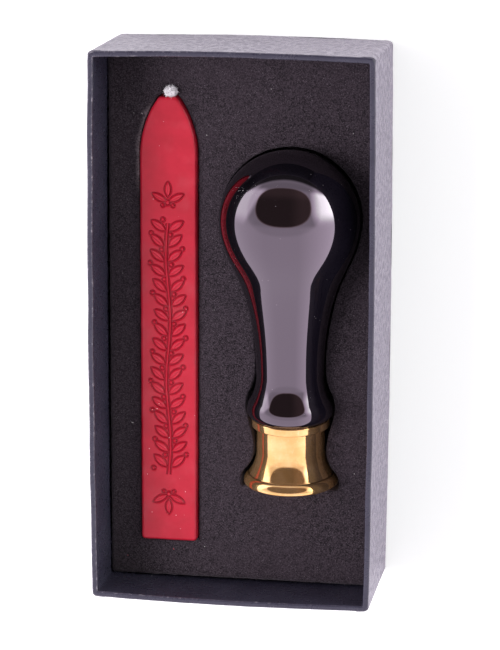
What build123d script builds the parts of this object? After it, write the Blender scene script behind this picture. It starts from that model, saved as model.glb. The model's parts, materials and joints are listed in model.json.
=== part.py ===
from build123d import *
import math
import os

os.makedirs("parts", exist_ok=True)

# A wax seal set box, lying open on its base. Millimetres.
# +Z points up out of the box, +Y points to the end where the wick is,
# and the origin is at the middle of the base's underside.

# Tray: a folded board blank with taped corners, covered in paper
tray_width = 74.0  # outside, across X, at the corners
tray_length = 145.5  # outside, along Y, at the corners
tray_height = 37.0
long_wall_bow = 0.5  # how far a long wall springs out at its middle
end_wall_bow = 0.6  # how far an end wall springs out at its middle
outer_corner_radius = 1.2
inner_corner_radius = 0.4
board_thickness = 1.2
paper_thickness = 0.15
rim_radius = 0.45  # where the paper folds over the rim
turn_in_depth = 20.0  # paper folded down inside the walls
corner_seam = 0.1  # between two walls of the folded board
stay_thickness = 0.1  # paper tape round each corner, pressed into the board
stay_reach = 12.0  # along each wall from the corner
stay_margin = 2.0  # bare board above and below the tape

# Foam insert: a shelf sheet under a pocket sheet
foam_clearance = 0.3  # to the walls at the tray's corners
foam_corner_radius = 0.6
shelf_sheet = 4.0  # thickness
pocket_sheet = 15.2  # thickness
rest_gap = 0.1  # under what lies in the insert

# Wax stick: a moulded bar with a pointed end, and a wick along it
wax_x = -19.05  # middle of the stick
wax_back_y = -60.7  # square end
wax_length = 120.1
wax_face_width = 15.1
wax_thickness = 16.5
wax_draft_angle = 2.5  # the sides lean out towards the back
wax_tip_length = 15.5  # of the curved point
wax_nose_width = 4.8
wax_corner_radius = 0.8
wax_face_edge_radius = 0.7
wax_back_edge_radius = 0.3
wax_pocket_clearance = 0.3
wick_notch_width = 4.4
wick_notch_length = 3.6  # beyond the stick's nose
wick_notch_radius = 1.6
wick_radius = 0.9
wick_depth = 4.5  # below the stick's face
wick_back_margin = 3.0  # wax between the wick and the square end
wick_bend_radius = 1.3
wick_bend_angle = 85.0
wick_stub_length = 3.6  # free end beyond the bend

# Seal: a turned handle with a brass head on a threaded stud. It lies on the die's rim
# and on the bulb, so its axis rises towards the bulb.
# Stations run along the axis from the die face.
seal_x = 13.5
seal_y = -43.4  # middle of the die face
die_radius = 12.7
die_edge_chamfer = 0.35
bead_narrowing = 1.45  # from the die to where its rounded rim ends
bead_station = 3.7
groove_depth = 0.2  # between the rim and the flare
waist_radius = 9.15
waist_station = 9.3  # where the flare ends
collar_radius = 10.35
collar_height = 2.2
collar_edge_radius = 0.35
head_length = 18.0
joint_radius = 9.9  # the handle where it meets the head
lip_radius = 11.6
lip_station = 21.2  # where the lip is widest
lip_share = 0.33  # of the way from lip to neck that still belongs to the lip
neck_radius = 9.05
neck_station = 32.0
swell_steps = ((8.1, 27.0), (5.05, 16.2), (1.5, 8.0))  # slimmer than the bulb by, and before it by
bulb_radius = 18.4
bulb_station = 72.0
stud_radius = 3.0
stud_in_head = 10.0
stud_in_handle = 16.0
stud_chamfer = 0.5
stud_clearance = 0.02

# Pocket for the seal
handle_margin = 0.35
head_margin = 0.5
pocket_back_margin = 0.4

# Levels and places that follow from the sizes above
wall_thickness = board_thickness + 2 * paper_thickness
floor_z = wall_thickness
shelf_z = floor_z + shelf_sheet
foam_top_z = shelf_z + pocket_sheet
half_width = tray_width / 2
half_length = tray_length / 2
board_radius = outer_corner_radius - paper_thickness
wax_bottom_z = shelf_z + rest_gap
wax_face_z = wax_bottom_z + wax_thickness
wax_draft_run = wax_thickness * math.tan(math.radians(wax_draft_angle))
wax_nose_y = wax_back_y + wax_length
wax_tip_start_y = wax_nose_y - wax_tip_length
wick_z = wax_face_z - wick_depth
rim_to_bulb = bulb_station - die_edge_chamfer
seal_tilt = math.asin(bulb_radius / math.hypot(rim_to_bulb, die_radius)) - math.atan2(die_radius, rim_to_bulb)
bulb_z = shelf_z + rest_gap + bulb_radius
die_face_z = bulb_z - bulb_station * math.sin(seal_tilt)
collar_station = head_length - collar_height
bead_radius = die_radius - bead_narrowing
flare_radius = bead_radius - groove_depth
flare_station = bead_station + groove_depth
handle_end = bulb_station + bulb_radius
lip = Vector(lip_radius, lip_station)
neck = Vector(neck_radius, neck_station)
lip_end = lip + (neck - lip) * lip_share
swell_points = [(bulb_radius - slimmer, bulb_station - before) for slimmer, before in swell_steps]


def tray_outline(inset, corner_radius):
    """The tray's outline, drawn in from its outside, with every side sprung outwards."""
    x = half_width - inset
    y = half_length - inset
    with BuildSketch(mode=Mode.PRIVATE) as outline:
        with BuildLine():
            ThreePointArc((x, -y), (x + long_wall_bow, 0), (x, y))
            ThreePointArc((x, y), (0, y + end_wall_bow), (-x, y))
            ThreePointArc((-x, y), (-x - long_wall_bow, 0), (-x, -y))
            ThreePointArc((-x, -y), (0, -y - end_wall_bow), (x, -y))
        make_face()
        fillet(outline.vertices(), corner_radius)
    return outline.sketch


def stick_outline():
    """The wax stick's outline, seen on its face."""
    x = wax_face_width / 2
    nose_x = wax_nose_width / 2
    with BuildSketch(mode=Mode.PRIVATE) as outline:
        with BuildLine():
            Polyline((-x, wax_tip_start_y), (-x, wax_back_y), (x, wax_back_y), (x, wax_tip_start_y))
            TangentArc((x, wax_tip_start_y), (nose_x, wax_nose_y), tangent=(0, 1))
            Line((nose_x, wax_nose_y), (-nose_x, wax_nose_y))
            TangentArc((-x, wax_tip_start_y), (-nose_x, wax_nose_y), tangent=(0, 1))
        make_face()
        fillet(outline.vertices().group_by(Axis.Y)[0], wax_corner_radius)
    return outline.sketch


def head_half_section():
    """Half the brass head's outline: radius along X, station along Y."""
    with BuildSketch(mode=Mode.PRIVATE) as section:
        with BuildLine():
            Polyline((0, 0), (die_radius - die_edge_chamfer, 0), (die_radius, die_edge_chamfer))
            TangentArc((die_radius, die_edge_chamfer), (bead_radius, bead_station), tangent=(0, 1))
            Polyline((bead_radius, bead_station), (flare_radius, bead_station), (flare_radius, flare_station))
            TangentArc((waist_radius, waist_station), (flare_radius, flare_station), tangent=(0, -1))
            Polyline(
                (waist_radius, waist_station),
                (waist_radius, collar_station),
                (collar_radius, collar_station),
                (collar_radius, head_length),
                (0, head_length),
                (0, 0),
            )
        make_face()
        collar_corners = [v for v in section.vertices() if v.X > joint_radius and v.Y > waist_station]
        fillet(collar_corners, collar_edge_radius)
    return section.sketch


def handle_half_section():
    """Half the handle's outline: radius along X, station along Y."""
    with BuildSketch(mode=Mode.PRIVATE) as section:
        with BuildLine():
            Line((0, head_length), (joint_radius, head_length))
            TangentArc(lip, (joint_radius, head_length), tangent=(0, -1))
            TangentArc(lip, lip_end, tangent=(0, 1))
            TangentArc(neck, lip_end, tangent=(0, -1))
            Spline(
                neck,
                *swell_points,
                (bulb_radius, bulb_station),
                tangents=((0, 1), (0, 1)),
                tangent_scalars=(1, 1),
            )
            TangentArc((bulb_radius, bulb_station), (0, handle_end), tangent=(0, 1))
            Line((0, handle_end), (0, head_length))
        make_face()
    return section.sketch


# The seal's own plane: X across the axis, Y along it from the die face to the bulb
seal_across = Vector(1, 0, 0)
seal_direction = Vector(0, math.cos(seal_tilt), math.sin(seal_tilt))
seal_plane = Plane(
    origin=(seal_x, seal_y, die_face_z),
    x_dir=seal_across,
    z_dir=seal_across.cross(seal_direction),
)
seal_axis = Axis(seal_plane.origin, seal_direction)
across_seal = Plane(origin=seal_plane.origin, x_dir=seal_across, z_dir=seal_direction)


# Corner tapes, one at each corner of the board
stays = {}
for end_name, end_side in (("wick_end", 1), ("die_end", -1)):
    for side_name, wall_side in (("left", -1), ("right", 1)):
        with BuildPart() as stay:
            with BuildSketch(Plane.XY.offset(paper_thickness + stay_margin)):
                add(tray_outline(paper_thickness, board_radius))
                add(
                    tray_outline(paper_thickness + stay_thickness, board_radius - stay_thickness),
                    mode=Mode.SUBTRACT,
                )
                with Locations((wall_side * half_width, end_side * half_length)):
                    Rectangle(2 * stay_reach, 2 * stay_reach, mode=Mode.INTERSECT)
            extrude(amount=tray_height - 2 * paper_thickness - 2 * stay_margin)
        stay.part.label = f"corner_stay_{end_name}_{side_name}"
        stays[stay.part.label] = stay.part
        export_step(stay.part, f"parts/{stay.part.label}.step")


# Folded board blank: base and four walls, with a seam at each corner
with BuildPart() as board_form:
    with BuildSketch(Plane.XY.offset(paper_thickness)):
        add(tray_outline(paper_thickness, board_radius))
    extrude(amount=tray_height - 2 * paper_thickness)
    with BuildSketch(Plane.XY.offset(paper_thickness + board_thickness)):
        add(tray_outline(paper_thickness + board_thickness, inner_corner_radius))
    extrude(amount=tray_height, mode=Mode.SUBTRACT)
    fillet(board_form.faces().sort_by(Axis.Z)[-1].edges(), rim_radius - paper_thickness)

with BuildPart() as tray_board:
    add(board_form.part)
    for stay_solid in stays.values():
        add(stay_solid, mode=Mode.SUBTRACT)
    seam_x = half_width - paper_thickness - board_thickness - corner_seam / 2
    seam_y = half_length - paper_thickness - board_thickness / 2
    with BuildSketch(Plane.XY.offset(paper_thickness + board_thickness)):
        with Locations(
            (seam_x, seam_y),
            (seam_x, -seam_y),
            (-seam_x, seam_y),
            (-seam_x, -seam_y),
        ):
            Rectangle(corner_seam, board_thickness + 2 * end_wall_bow)
    extrude(amount=tray_height, mode=Mode.SUBTRACT)
tray_board.part.label = "tray_board"
export_step(tray_board.part, "parts/tray_board.step")


# Paper over the walls: up the outside, over the rim and down inside
with BuildPart() as wall_wrap:
    with BuildSketch(Plane.XY.offset(paper_thickness)):
        add(tray_outline(0, outer_corner_radius))
        add(tray_outline(wall_thickness, inner_corner_radius), mode=Mode.SUBTRACT)
    extrude(amount=tray_height - paper_thickness)
    fillet(wall_wrap.faces().sort_by(Axis.Z)[-1].edges(), rim_radius)
    add(board_form.part, mode=Mode.SUBTRACT)
    with BuildSketch(Plane.XY.offset(paper_thickness)):
        add(tray_outline(paper_thickness + board_thickness, inner_corner_radius))
    extrude(amount=tray_height - paper_thickness - turn_in_depth, mode=Mode.SUBTRACT)
wall_wrap.part.label = "wall_wrap"
export_step(wall_wrap.part, "parts/wall_wrap.step")


# Paper under the base
with BuildPart() as base_wrap:
    with BuildSketch():
        add(tray_outline(0, outer_corner_radius))
    extrude(amount=paper_thickness)
base_wrap.part.label = "base_wrap"
export_step(base_wrap.part, "parts/base_wrap.step")


# Paper lining on the tray's floor
with BuildPart() as floor_lining:
    with BuildSketch(Plane.XY.offset(floor_z - paper_thickness)):
        add(tray_outline(wall_thickness, inner_corner_radius))
    extrude(amount=paper_thickness)
floor_lining.part.label = "floor_lining"
export_step(floor_lining.part, "parts/floor_lining.step")


def pocket_point(side, radius, station, margin):
    """A point on one side of the seal's pocket, beside a station of the seal."""
    return (seal_x + side * (radius + margin), seal_y + station * math.cos(seal_tilt))


def draw_pocket_side(side):
    """One side of the seal's pocket: it follows the seal from the die to the bulb."""
    rim_side = pocket_point(side, die_radius, 2 * die_edge_chamfer, head_margin)
    bead_side = pocket_point(side, bead_radius, bead_station, head_margin)
    waist_side = pocket_point(side, waist_radius, waist_station, head_margin)
    collar_side = pocket_point(side, collar_radius, collar_station, head_margin)
    lip_side = pocket_point(side, lip.X, lip.Y, handle_margin)
    lip_end_side = pocket_point(side, lip_end.X, lip_end.Y, handle_margin)
    neck_side = pocket_point(side, neck.X, neck.Y, handle_margin)
    swell_sides = [pocket_point(side, radius, station, handle_margin) for radius, station in swell_points]
    bulb_side = pocket_point(side, bulb_radius, bulb_station, handle_margin)
    Line((rim_side[0], pocket_back_y), rim_side)
    TangentArc(rim_side, bead_side, tangent=(0, 1))
    TangentArc(waist_side, bead_side, tangent=(0, -1))
    Spline(waist_side, collar_side, lip_side, tangents=((0, 1), (0, 1)), tangent_scalars=(1, 1))
    TangentArc(lip_side, lip_end_side, tangent=(0, 1))
    TangentArc(neck_side, lip_end_side, tangent=(0, -1))
    Spline(neck_side, *swell_sides, bulb_side, tangents=((0, 1), (0, 1)), tangent_scalars=(1, 1))


# Outline of the seal's pocket
pocket_back_y = seal_y - die_radius * math.sin(seal_tilt) - pocket_back_margin
pocket_end_y = seal_y + bulb_station * math.cos(seal_tilt) + bulb_radius + handle_margin
with BuildSketch() as seal_pocket_plan:
    with BuildLine():
        draw_pocket_side(-1)
        draw_pocket_side(1)
        Line(
            (seal_x - die_radius - head_margin, pocket_back_y),
            (seal_x + die_radius + head_margin, pocket_back_y),
        )
        ThreePointArc(
            pocket_point(-1, bulb_radius, bulb_station, handle_margin),
            (seal_x, pocket_end_y),
            pocket_point(1, bulb_radius, bulb_station, handle_margin),
        )
    make_face()


def foam_sheet_outline():
    """A foam sheet's outline, clear of the tray's walls."""
    inset = wall_thickness + foam_clearance
    with BuildSketch(mode=Mode.PRIVATE) as outline:
        RectangleRounded(tray_width - 2 * inset, tray_length - 2 * inset, foam_corner_radius)
    return outline.sketch


# Lower foam sheet: the plain floor of both pockets
with BuildPart() as shelf_foam:
    with BuildSketch(Plane.XY.offset(floor_z)):
        add(foam_sheet_outline())
    extrude(amount=shelf_sheet)
shelf_foam.part.label = "shelf_foam"
export_step(shelf_foam.part, "parts/shelf_foam.step")


# The wax stick's pocket, as wide as the stick's back, with a notch for the wick
with BuildSketch() as wick_notch:
    with Locations((wax_x, wax_nose_y)):
        Rectangle(wick_notch_width, 2 * wick_notch_length)
    fillet(wick_notch.vertices().group_by(Axis.Y)[-1], wick_notch_radius)

with BuildSketch() as wax_pocket_plan:
    with Locations((wax_x, 0)):
        add(stick_outline())
    offset(amount=wax_draft_run + wax_pocket_clearance, kind=Kind.INTERSECTION)
    add(wick_notch.sketch)


# Upper foam sheet, with a pocket for the wax stick and one for the seal
with BuildPart() as pocket_foam:
    with BuildSketch(Plane.XY.offset(shelf_z)):
        add(foam_sheet_outline())
        add(seal_pocket_plan.sketch, mode=Mode.SUBTRACT)
        add(wax_pocket_plan.sketch, mode=Mode.SUBTRACT)
    extrude(amount=pocket_sheet)
pocket_foam.part.label = "pocket_foam"
export_step(pocket_foam.part, "parts/pocket_foam.step")


# Wick: straight along the stick, then bent up in front of the nose
wick_start_y = wax_back_y + wick_back_margin
wick_bend_y = wax_nose_y + wick_depth * math.tan(math.radians(wax_draft_angle))
wick_bend = math.radians(wick_bend_angle)
with BuildPart() as wick:
    with BuildLine() as wick_path:
        Line((wax_x, wick_start_y, wick_z), (wax_x, wick_bend_y, wick_z))
        bend = TangentArc(
            (wax_x, wick_bend_y, wick_z),
            (
                wax_x,
                wick_bend_y + wick_bend_radius * math.sin(wick_bend),
                wick_z + wick_bend_radius * (1 - math.cos(wick_bend)),
            ),
            tangent=(0, 1, 0),
        )
        Line(bend @ 1, bend @ 1 + (bend % 1) * wick_stub_length)
    with BuildSketch(Plane(origin=(wax_x, wick_start_y, wick_z), z_dir=(0, 1, 0))):
        Circle(wick_radius)
    sweep()
wick.part.label = "wick"
export_step(wick.part, "parts/wick.step")


# Wax stick with the wick's bore
with BuildPart() as wax_stick:
    with BuildSketch(Plane.XY.offset(wax_bottom_z)):
        with Locations((wax_x, 0)):
            add(stick_outline())
        offset(amount=wax_draft_run, kind=Kind.INTERSECTION)
    extrude(amount=wax_thickness, taper=wax_draft_angle)
    fillet(wax_stick.faces().sort_by(Axis.Z)[-1].edges(), wax_face_edge_radius)
    fillet(wax_stick.faces().sort_by(Axis.Z)[0].edges(), wax_back_edge_radius)
    with BuildSketch(Plane(origin=(wax_x, wick_start_y, wick_z), z_dir=(0, 1, 0))):
        Circle(wick_radius)
    extrude(amount=wax_length, mode=Mode.SUBTRACT)
wax_stick.part.label = "wax_stick"
export_step(wax_stick.part, "parts/wax_stick.step")


# Brass head with a blind hole for the stud
with BuildPart() as seal_head:
    with BuildSketch(seal_plane):
        add(head_half_section())
    revolve(axis=seal_axis)
    with BuildSketch(across_seal.offset(head_length)):
        Circle(stud_radius + stud_clearance)
    extrude(amount=-stud_in_head, mode=Mode.SUBTRACT)
seal_head.part.label = "seal_head"
export_step(seal_head.part, "parts/seal_head.step")


# Turned handle with a blind hole for the stud
with BuildPart() as seal_handle:
    with BuildSketch(seal_plane):
        add(handle_half_section())
    revolve(axis=seal_axis)
    with BuildSketch(across_seal.offset(head_length)):
        Circle(stud_radius + stud_clearance)
    extrude(amount=stud_in_handle, mode=Mode.SUBTRACT)
seal_handle.part.label = "seal_handle"
export_step(seal_handle.part, "parts/seal_handle.step")


# Stud that joins the head to the handle
with BuildPart() as seal_stud:
    with BuildSketch(across_seal.offset(head_length - stud_in_head)):
        Circle(stud_radius)
    extrude(amount=stud_in_head + stud_in_handle)
    chamfer(seal_stud.edges().filter_by(GeomType.CIRCLE), stud_chamfer)
seal_stud.part.label = "seal_stud"
export_step(seal_stud.part, "parts/seal_stud.step")
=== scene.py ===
import json
import math

import bpy
import numpy as np
from mathutils import Matrix, Vector
from mathutils.geometry import delaunay_2d_cdt

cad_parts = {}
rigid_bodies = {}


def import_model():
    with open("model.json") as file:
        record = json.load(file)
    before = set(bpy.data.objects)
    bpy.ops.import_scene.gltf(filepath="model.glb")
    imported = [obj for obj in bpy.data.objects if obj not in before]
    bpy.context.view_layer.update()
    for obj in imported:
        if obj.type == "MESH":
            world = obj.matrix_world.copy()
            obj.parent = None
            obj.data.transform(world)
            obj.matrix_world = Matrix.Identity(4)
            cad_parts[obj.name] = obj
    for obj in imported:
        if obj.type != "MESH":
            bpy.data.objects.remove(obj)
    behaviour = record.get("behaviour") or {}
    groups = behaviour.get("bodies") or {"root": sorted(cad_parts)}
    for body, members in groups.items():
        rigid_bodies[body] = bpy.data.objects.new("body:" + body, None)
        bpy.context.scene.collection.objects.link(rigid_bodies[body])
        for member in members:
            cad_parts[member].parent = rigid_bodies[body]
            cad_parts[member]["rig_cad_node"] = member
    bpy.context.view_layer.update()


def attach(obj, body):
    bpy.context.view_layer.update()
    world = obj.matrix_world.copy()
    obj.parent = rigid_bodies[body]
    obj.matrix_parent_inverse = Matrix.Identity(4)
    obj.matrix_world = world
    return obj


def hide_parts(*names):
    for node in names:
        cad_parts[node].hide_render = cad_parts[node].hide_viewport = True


# A wax seal set box. Lengths here are millimetres, in the CAD's frame; MM turns them to metres.
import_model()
MM = 0.001
rng = np.random.default_rng(7)

# ---- sizes shared with the CAD
HALF_WIDTH, HALF_LENGTH, HEIGHT = 37.0, 72.75, 37.0
LONG_BOW, END_BOW = 0.5, 0.6
OUTER_CORNER, INNER_CORNER = 1.2, 0.4
PAPER, WALL, TURN_IN = 0.15, 1.5, 20.0
LINING_Z, SHELF_Z, FOAM_Z = 1.5, 5.5, 20.7
FOAM_HALF_WIDTH, FOAM_HALF_LENGTH, FOAM_CORNER = 35.2, 70.95, 0.6

WAX_X, WAX_BACK, WAX_NOSE, WAX_TIP_START = -19.05, -60.7, 59.4, 43.9
WAX_HALF, WAX_NOSE_HALF, WAX_FACE, WAX_BOTTOM = 7.55, 2.4, 22.1, 5.6
WAX_DRAFT = math.tan(math.radians(2.5))
WAX_LEAN = (WAX_FACE - WAX_BOTTOM) * WAX_DRAFT
WAX_GAP, POCKET_CORNER, WICK_Z = 0.3, 1.82, 17.6

SEAL_X, SEAL_Y = 13.5, -43.4
DIE_RADIUS, DIE_CHAMFER = 12.7, 0.35
BULB_RADIUS, BULB_STATION = 18.4, 72.0
RIM_TO_BULB = BULB_STATION - DIE_CHAMFER
TILT = math.asin(BULB_RADIUS / math.hypot(RIM_TO_BULB, DIE_RADIUS)) - math.atan2(DIE_RADIUS, RIM_TO_BULB)
SEAL_Z = SHELF_Z + 0.1 + BULB_RADIUS - BULB_STATION * math.sin(TILT)

# points of the seal's outline: radius and station, which runs along the axis from the die face
RIM, BEAD, FLARE, WAIST = (DIE_RADIUS, DIE_CHAMFER), (11.45, 2.75), (11.25, 2.95), (9.15, 9.3)
COLLAR, HEAD_END = (10.35, 15.8), 18.0
JOINT, LIP, NECK, LIP_SHARE = (9.9, HEAD_END), (11.6, 20.5), (9.05, 30.2), 0.33
LIP_END = tuple(a + (b - a) * LIP_SHARE for a, b in zip(LIP, NECK))
SWELLS, BULB = ((10.3, 45.0), (13.35, 55.8), (16.9, 64.0)), (BULB_RADIUS, BULB_STATION)
STUD_HOLE, HOLE_IN_HEAD, HOLE_IN_HANDLE = 3.02, 8.0, 34.0

# the pocket follows the CAD's outline, where these points lie a little differently
CUT_BEAD, CUT_LIP, CUT_LIP_END, CUT_NECK = (11.25, 3.7), (11.6, 21.2), (10.76, 24.76), (9.05, 32.0)


# ---- mesh helpers
def build(name, verts, faces, body, replaced=(), slot=None, material=None, attributes=None):
    """A smooth mesh object from millimetre points and faces, riding on a body."""
    mesh = bpy.data.meshes.new(name)
    mesh.from_pydata(np.asarray(verts) * MM, [], faces, shade_flat=False)
    mesh.validate()
    for key, values in (attributes or {}).items():
        layer = mesh.attributes.new(key, "FLOAT", "POINT")
        layer.data.foreach_set("value", np.asarray(values, dtype=np.float32))
    obj = bpy.data.objects.new(name, mesh)
    bpy.context.collection.objects.link(obj)
    if material:
        mesh.materials.append(material)
    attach(obj, body)
    if replaced:
        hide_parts(*replaced)
    return obj


def grid_faces(rows, columns, close_rows=False, close_columns=False, start=0):
    """Quads of a grid of rows x columns points that begins at index start."""
    r = np.arange(rows if close_rows else rows - 1)
    c = np.arange(columns if close_columns else columns - 1)
    r, c = np.meshgrid(r, c, indexing="ij")
    r2, c2 = (r + 1) % rows, (c + 1) % columns
    quads = np.stack([r * columns + c, r * columns + c2, r2 * columns + c2, r2 * columns + c], -1)
    return (quads.reshape(-1, 4) + start).tolist()


def arc(center, radius, a0, a1, count):
    """Points of an arc, its angles in degrees."""
    a = np.radians(np.linspace(a0, a1, count))
    return np.stack([center[0] + radius * np.cos(a), center[1] + radius * np.sin(a)], -1)


def tangent_arc(start, end, along, count):
    """An arc from start to end that leaves start along the second axis, up (1) or down (-1)."""
    dx, dy = end[0] - start[0], (end[1] - start[1]) * along
    radius = (dx * dx + dy * dy) / (2 * dx)
    turn = np.linspace(0, math.atan2(dy, abs(radius) - abs(dx)), count)
    sideways, forward = radius * (1 - np.cos(turn)), abs(radius) * np.sin(turn)
    return np.stack([start[0] + sideways, start[1] + along * forward], -1)


def clamped_spline(points, count):
    """A cubic spline through points that leaves the first and reaches the last along the second axis."""
    points = np.array(points, dtype=float)
    runs = np.linalg.norm(np.diff(points, axis=0), axis=1)
    slopes = np.diff(points, axis=0) / runs[:, None]
    rows, right = np.eye(len(points)), np.zeros((len(points), 2))
    right[0] = right[-1] = (0, 1)
    for i in range(1, len(points) - 1):
        rows[i, i - 1 : i + 2] = runs[i], 2 * (runs[i - 1] + runs[i]), runs[i - 1]
        right[i] = 3 * (runs[i] * slopes[i - 1] + runs[i - 1] * slopes[i])
    tangents = np.linalg.solve(rows, right)
    t = np.linspace(0, 1, count)[:, None]
    out = [points[:1]]
    for a, b, m0, m1, h in zip(points, points[1:], tangents, tangents[1:], runs):
        ends = (2 * t**3 - 3 * t**2 + 1) * a + (3 * t**2 - 2 * t**3) * b
        bends = (t**3 - 2 * t**2 + t) * m0 + (t**3 - t**2) * m1
        out.append((ends + h * bends)[1:])
    return np.vstack(out)


def resampled(loop, spacing):
    """A closed loop with even spacing."""
    closed = np.vstack([loop, loop[:1]])
    steps = np.linalg.norm(np.diff(closed, axis=0), axis=1)
    length = np.concatenate(([0], np.cumsum(steps)))
    at = np.linspace(0, length[-1], max(8, round(length[-1] / spacing)) + 1)[:-1]
    return np.stack([np.interp(at, length, closed[:, i]) for i in range(2)], -1)


def softened(loop, sigma, spacing):
    """A closed loop with its corners rounded off."""
    reach = max(1, int(3 * sigma / spacing))
    weights = np.exp(-0.5 * (np.arange(-reach, reach + 1) * spacing / sigma) ** 2)
    weights /= weights.sum()
    out = np.zeros_like(loop)
    for shift, weight in zip(range(-reach, reach + 1), weights):
        out += weight * np.roll(loop, shift, axis=0)
    return out


def outward(loop):
    """Unit normals of a closed loop, pointing to its right: outwards for a loop that runs anticlockwise."""
    along = np.roll(loop, -1, axis=0) - np.roll(loop, 1, axis=0)
    along /= np.linalg.norm(along, axis=1, keepdims=True)
    return np.stack([along[:, 1], -along[:, 0]], -1)


def inside(points, loop):
    """Which points lie inside a closed loop."""
    x, y = points[:, 0][:, None], points[:, 1][:, None]
    x0, y0 = loop[:, 0], loop[:, 1]
    x1, y1 = np.roll(x0, -1), np.roll(y0, -1)
    over = (y0 > y) != (y1 > y)
    with np.errstate(divide="ignore", invalid="ignore"):
        cross = x < (x1 - x0) * (y - y0) / (y1 - y0) + x0
    return (np.count_nonzero(over & cross, axis=1) % 2).astype(bool)


def distance_to(points, loop):
    """The least distance from each point to the loop's own points."""
    batch = 64
    out = np.full(len(points), np.inf)
    for k in range(0, len(loop), batch):
        gap = points[:, None, :] - loop[None, k : k + batch, :]
        out = np.minimum(out, np.sqrt((gap**2).sum(-1)).min(1))
    return out


def filled(outer, holes, spacing, margin):
    """A flat triangulation between an outer loop and holes: new inner points and triangles."""
    jitter, weld = 0.3, 1e-6
    loops = [outer, *holes]

    def kept(points):
        """Which points lie inside the outer loop and outside the holes."""
        return inside(points, outer) & ~np.any([inside(points, hole) for hole in holes], axis=0)

    low, high = outer.min(0), outer.max(0)
    xs, ys = np.arange(low[0], high[0], spacing), np.arange(low[1], high[1], spacing)
    inner = np.stack(np.meshgrid(xs, ys), -1).reshape(-1, 2)
    inner = inner + rng.uniform(-jitter, jitter, inner.shape) * spacing
    inner = inner[kept(inner)]
    for loop in loops:
        inner = inner[distance_to(inner, loop) > margin]
    points, edges, start = [], [], 0
    for loop in loops:
        count = len(loop)
        points.append(loop)
        edges += [(start + i, start + (i + 1) % count) for i in range(count)]
        start += count
    points.append(inner)
    points = np.vstack(points)
    made = delaunay_2d_cdt([Vector(p) for p in points], edges, [], 0, weld, True)
    back = [ids[0] if ids else -1 for ids in made[3]]
    triangles = np.array([[back[i] for i in t] for t in made[2]])
    triangles = triangles[(triangles >= 0).all(1)]
    return inner, triangles[kept(points[triangles].mean(1))]


def wave(points, scale, seed):
    """Smooth seamless unevenness, about -1 to 1, over points of any number of dimensions."""
    source, count = np.random.default_rng(seed), 9
    total = np.zeros(len(points))
    for _ in range(count):
        direction = source.normal(size=points.shape[1])
        direction *= source.uniform(0.6, 1.6) / (scale * np.linalg.norm(direction))
        total += np.sin(points @ direction * 2 * math.pi + source.uniform(0, 6.28))
    return total / math.sqrt(count)


def share(value):
    """A value held between 0 and 1."""
    return np.clip(value, 0, 1)


def full_turn(count):
    """Angles evenly round a circle."""
    return np.linspace(0, 2 * math.pi, count, endpoint=False)


def at_height(points, z):
    """Flat points raised to one height, or each to its own."""
    return np.column_stack([points, np.full(len(points), z)])


def edge_rings(width, drop, top, count):
    """A rounded upper edge as insets and heights, from the flat top to the upright wall."""
    turn = np.radians(np.linspace(90, 0, count))
    return [(width * (1 - math.cos(a)), top - drop * (1 - math.sin(a))) for a in turn]


# ---- node helpers
class Nodes:
    """A node tree: its nodes are added by short calls, with values or sockets as inputs."""

    def __init__(self, tree):
        self.tree = tree

    def put(self, socket, value):
        if isinstance(value, bpy.types.NodeSocket):
            self.tree.links.new(value, socket)
        elif socket.type == "RGBA" and len(value) == 3:
            socket.default_value = (*value, 1)
        else:
            socket.default_value = value

    def node(self, kind, inputs=None, **settings):
        made = self.tree.nodes.new("ShaderNode" + kind)
        for key, value in settings.items():
            setattr(made, key, value)
        for key, value in (inputs or {}).items():
            self.put(made.inputs[key], value)
        return made

    def math(self, kind, a, b=0.0):
        return self.node("Math", {0: a, 1: b}, operation=kind).outputs[0]

    def times(self, a, b):
        return self.math("MULTIPLY", a, b)

    def plus(self, a, b):
        return self.math("ADD", a, b)

    def span(self, value, low, high, to_low=0.0, to_high=1.0, kind="SMOOTHSTEP"):
        """The value from low to high becomes a step from to_low to to_high."""
        inputs = {"Value": value, "From Min": low, "From Max": high, "To Min": to_low, "To Max": to_high}
        return self.node("MapRange", inputs, interpolation_type=kind).outputs[0]

    def mix(self, factor, a, b):
        """A colour between a and b."""
        return self.node("Mix", {0: factor, 6: a, 7: b}, data_type="RGBA").outputs[2]


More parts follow.
